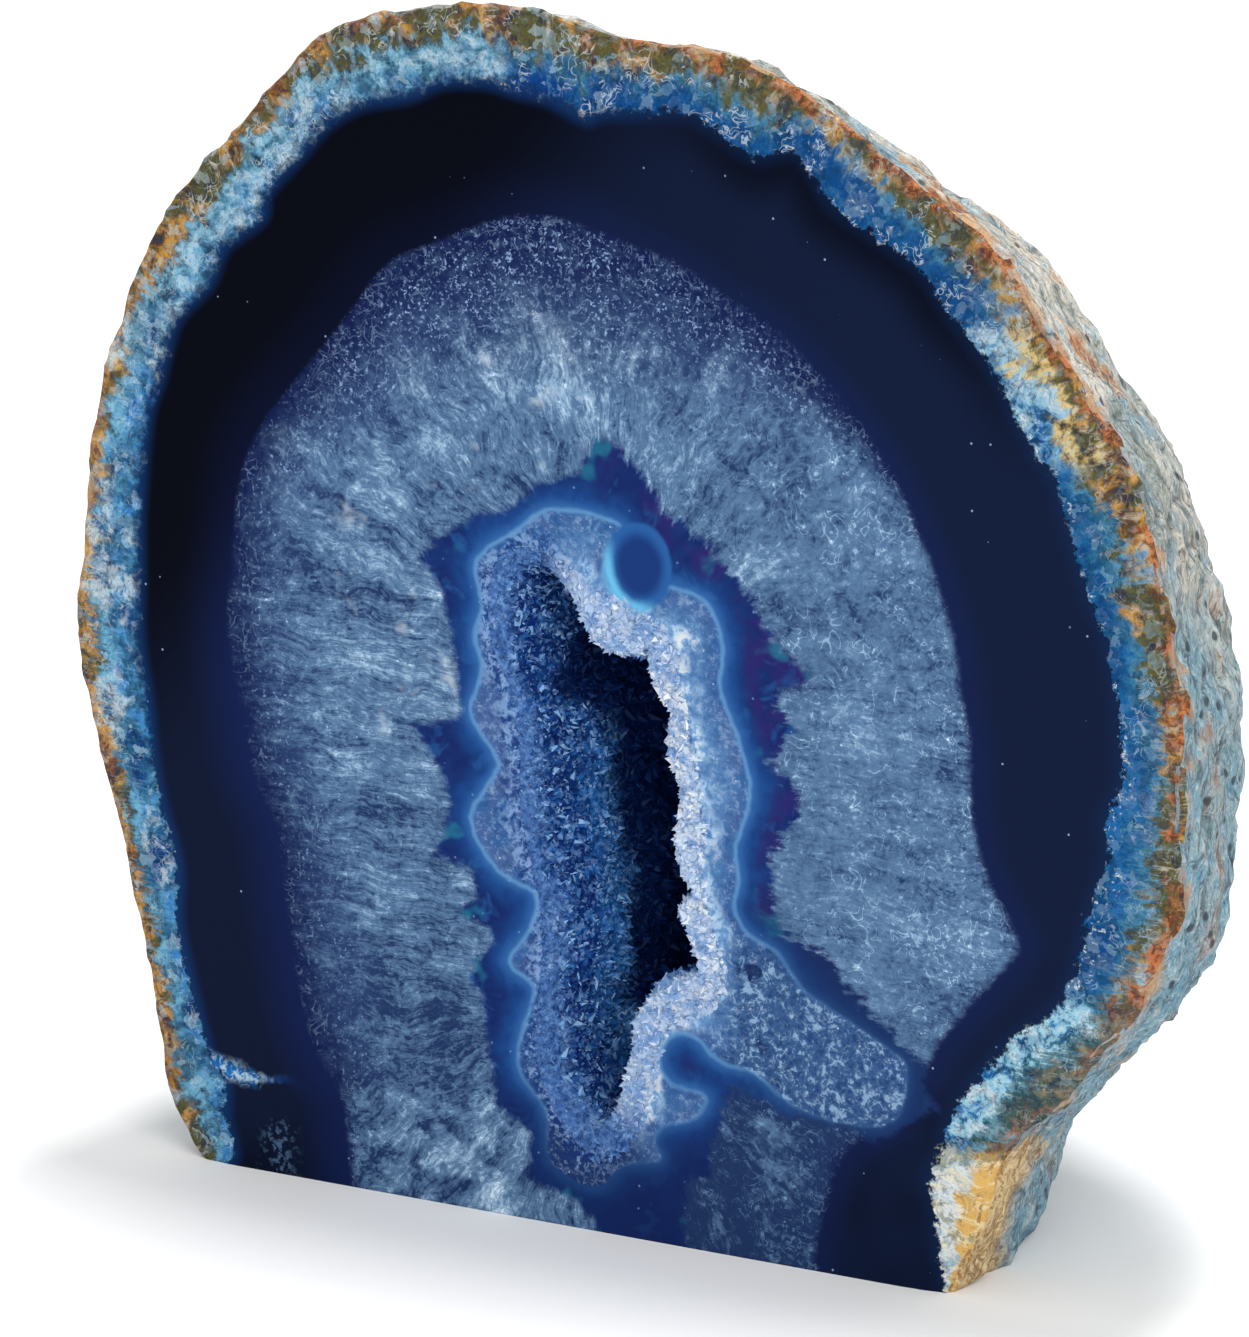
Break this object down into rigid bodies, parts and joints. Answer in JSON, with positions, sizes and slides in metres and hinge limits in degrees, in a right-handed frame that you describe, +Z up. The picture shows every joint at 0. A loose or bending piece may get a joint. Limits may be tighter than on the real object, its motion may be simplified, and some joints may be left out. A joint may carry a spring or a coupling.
{
  "type": "blue agate geode",
  "caption": "Half of a dyed blue agate geode with a polished face, a hollow lined with quartz points, a rough rind and a sawn flat base to stand on.",
  "frame": {"origin": "middle of the outer box at the sawn base", "axes": "+Z up from the base, the polished face looks along -Y, +X to the right of someone facing it"},
  "size_m": [0.1182, 0.0546, 0.1198],
  "materials": {
    "agate": "polished",
    "druse": "satin"
  },
  "bodies": {
    "root": {"agate_half": "agate", "crystal_crust": "druse"}
  },
  "joints": []
}
